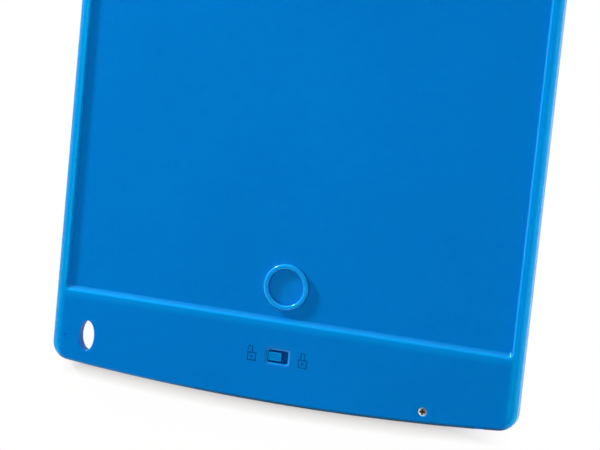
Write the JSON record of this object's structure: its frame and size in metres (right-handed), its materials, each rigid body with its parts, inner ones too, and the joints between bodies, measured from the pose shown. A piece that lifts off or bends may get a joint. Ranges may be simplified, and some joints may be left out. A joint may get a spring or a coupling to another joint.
{
  "type": "lcd writing tablet",
  "caption": "Slim writing tablet with a pressure-sensitive screen, erase button, back lock switch, coin cell tray in its bottom edge and a stylus along its top edge.",
  "frame": {"origin": "under the middle of the tablet, on the surface that it lies on face down", "axes": "+X across the back, +Y from the bottom edge with the lock switch to the top edge with the stylus, +Z from the screen side to the back side"},
  "size_m": [0.145, 0.225, 0.005],
  "materials": {
    "blue_abs": "satin gloss moulded ABS",
    "black_abs": "satin moulded ABS",
    "screen_film": "smooth clear film over dark liquid crystal",
    "dark_film": "black coated film",
    "tape": "white double-sided tape",
    "foam": "fine closed-cell foam",
    "board": "green solder mask",
    "flex": "amber flexible circuit",
    "component_black": "moulded epoxy",
    "ceramic": "fired ceramic with tinned ends",
    "gasket": "clear nylon",
    "steel": "nickel plated steel",
    "brass": "plated spring brass"
  },
  "bodies": {
    "housing": {"back_cover": "blue_abs", "front_frame": "blue_abs", "film_tape": "tape", "lcd_front_film": "screen_film", "lcd_rear_film": "dark_film", "backing_sheet": "foam", "film_lead_front": "flex", "film_lead_rear": "flex", "circuit_board": "board", "board_screw_left": "steel", "board_screw_right": "steel", "driver_chip": "component_black", "boost_inductor": "component_black", "rectifier_diode": "component_black", "capacitor_1": "ceramic", "capacitor_2": "ceramic", "capacitor_3": "ceramic", "resistor_1": "component_black", "resistor_2": "component_black", "erase_switch_body": "component_black", "lock_switch_body": "component_black", "contact_negative": "brass", "contact_positive": "brass"},
    "erase_key": {"erase_button": "blue_abs", "erase_switch_plunger": "component_black"},
    "lock_slider": {"lock_switch_lever": "component_black", "lock_knob": "blue_abs"},
    "cell_drawer": {"battery_tray": "blue_abs", "cell_can": "steel", "cell_gasket": "gasket", "cell_cap": "steel"},
    "drawer_screw": {"tray_screw": "steel"},
    "stylus": {"stylus_barrel": "black_abs", "stylus_tip": "black_abs", "stylus_end_cap": "black_abs"}
  },
  "joints": [
    {"name": "erase_press", "type": "slide", "parent": "housing", "child": "erase_key", "axis": [0, 0, 1], "range_m": [0, 0.00035], "stiffness_N_per_m": 2500, "springref_m": -0.0002},
    {"name": "lock_slide", "type": "slide", "parent": "housing", "child": "lock_slider", "axis": [1, 0, 0], "range_m": [0, 0.002]},
    {"name": "drawer_slide", "type": "slide", "parent": "housing", "child": "cell_drawer", "axis": [0, -1, 0], "range_m": [0, 0.022]},
    {"name": "screw_turn", "type": "hinge", "parent": "housing", "child": "drawer_screw", "pos_m": [0.04485, -0.1075, 0.0045], "axis": [0, 0, 1], "continuous": true},
    {"name": "stylus_pull", "type": "slide", "parent": "housing", "child": "stylus", "axis": [0, 1, 0], "range_m": [0, 0.009]}
  ]
}
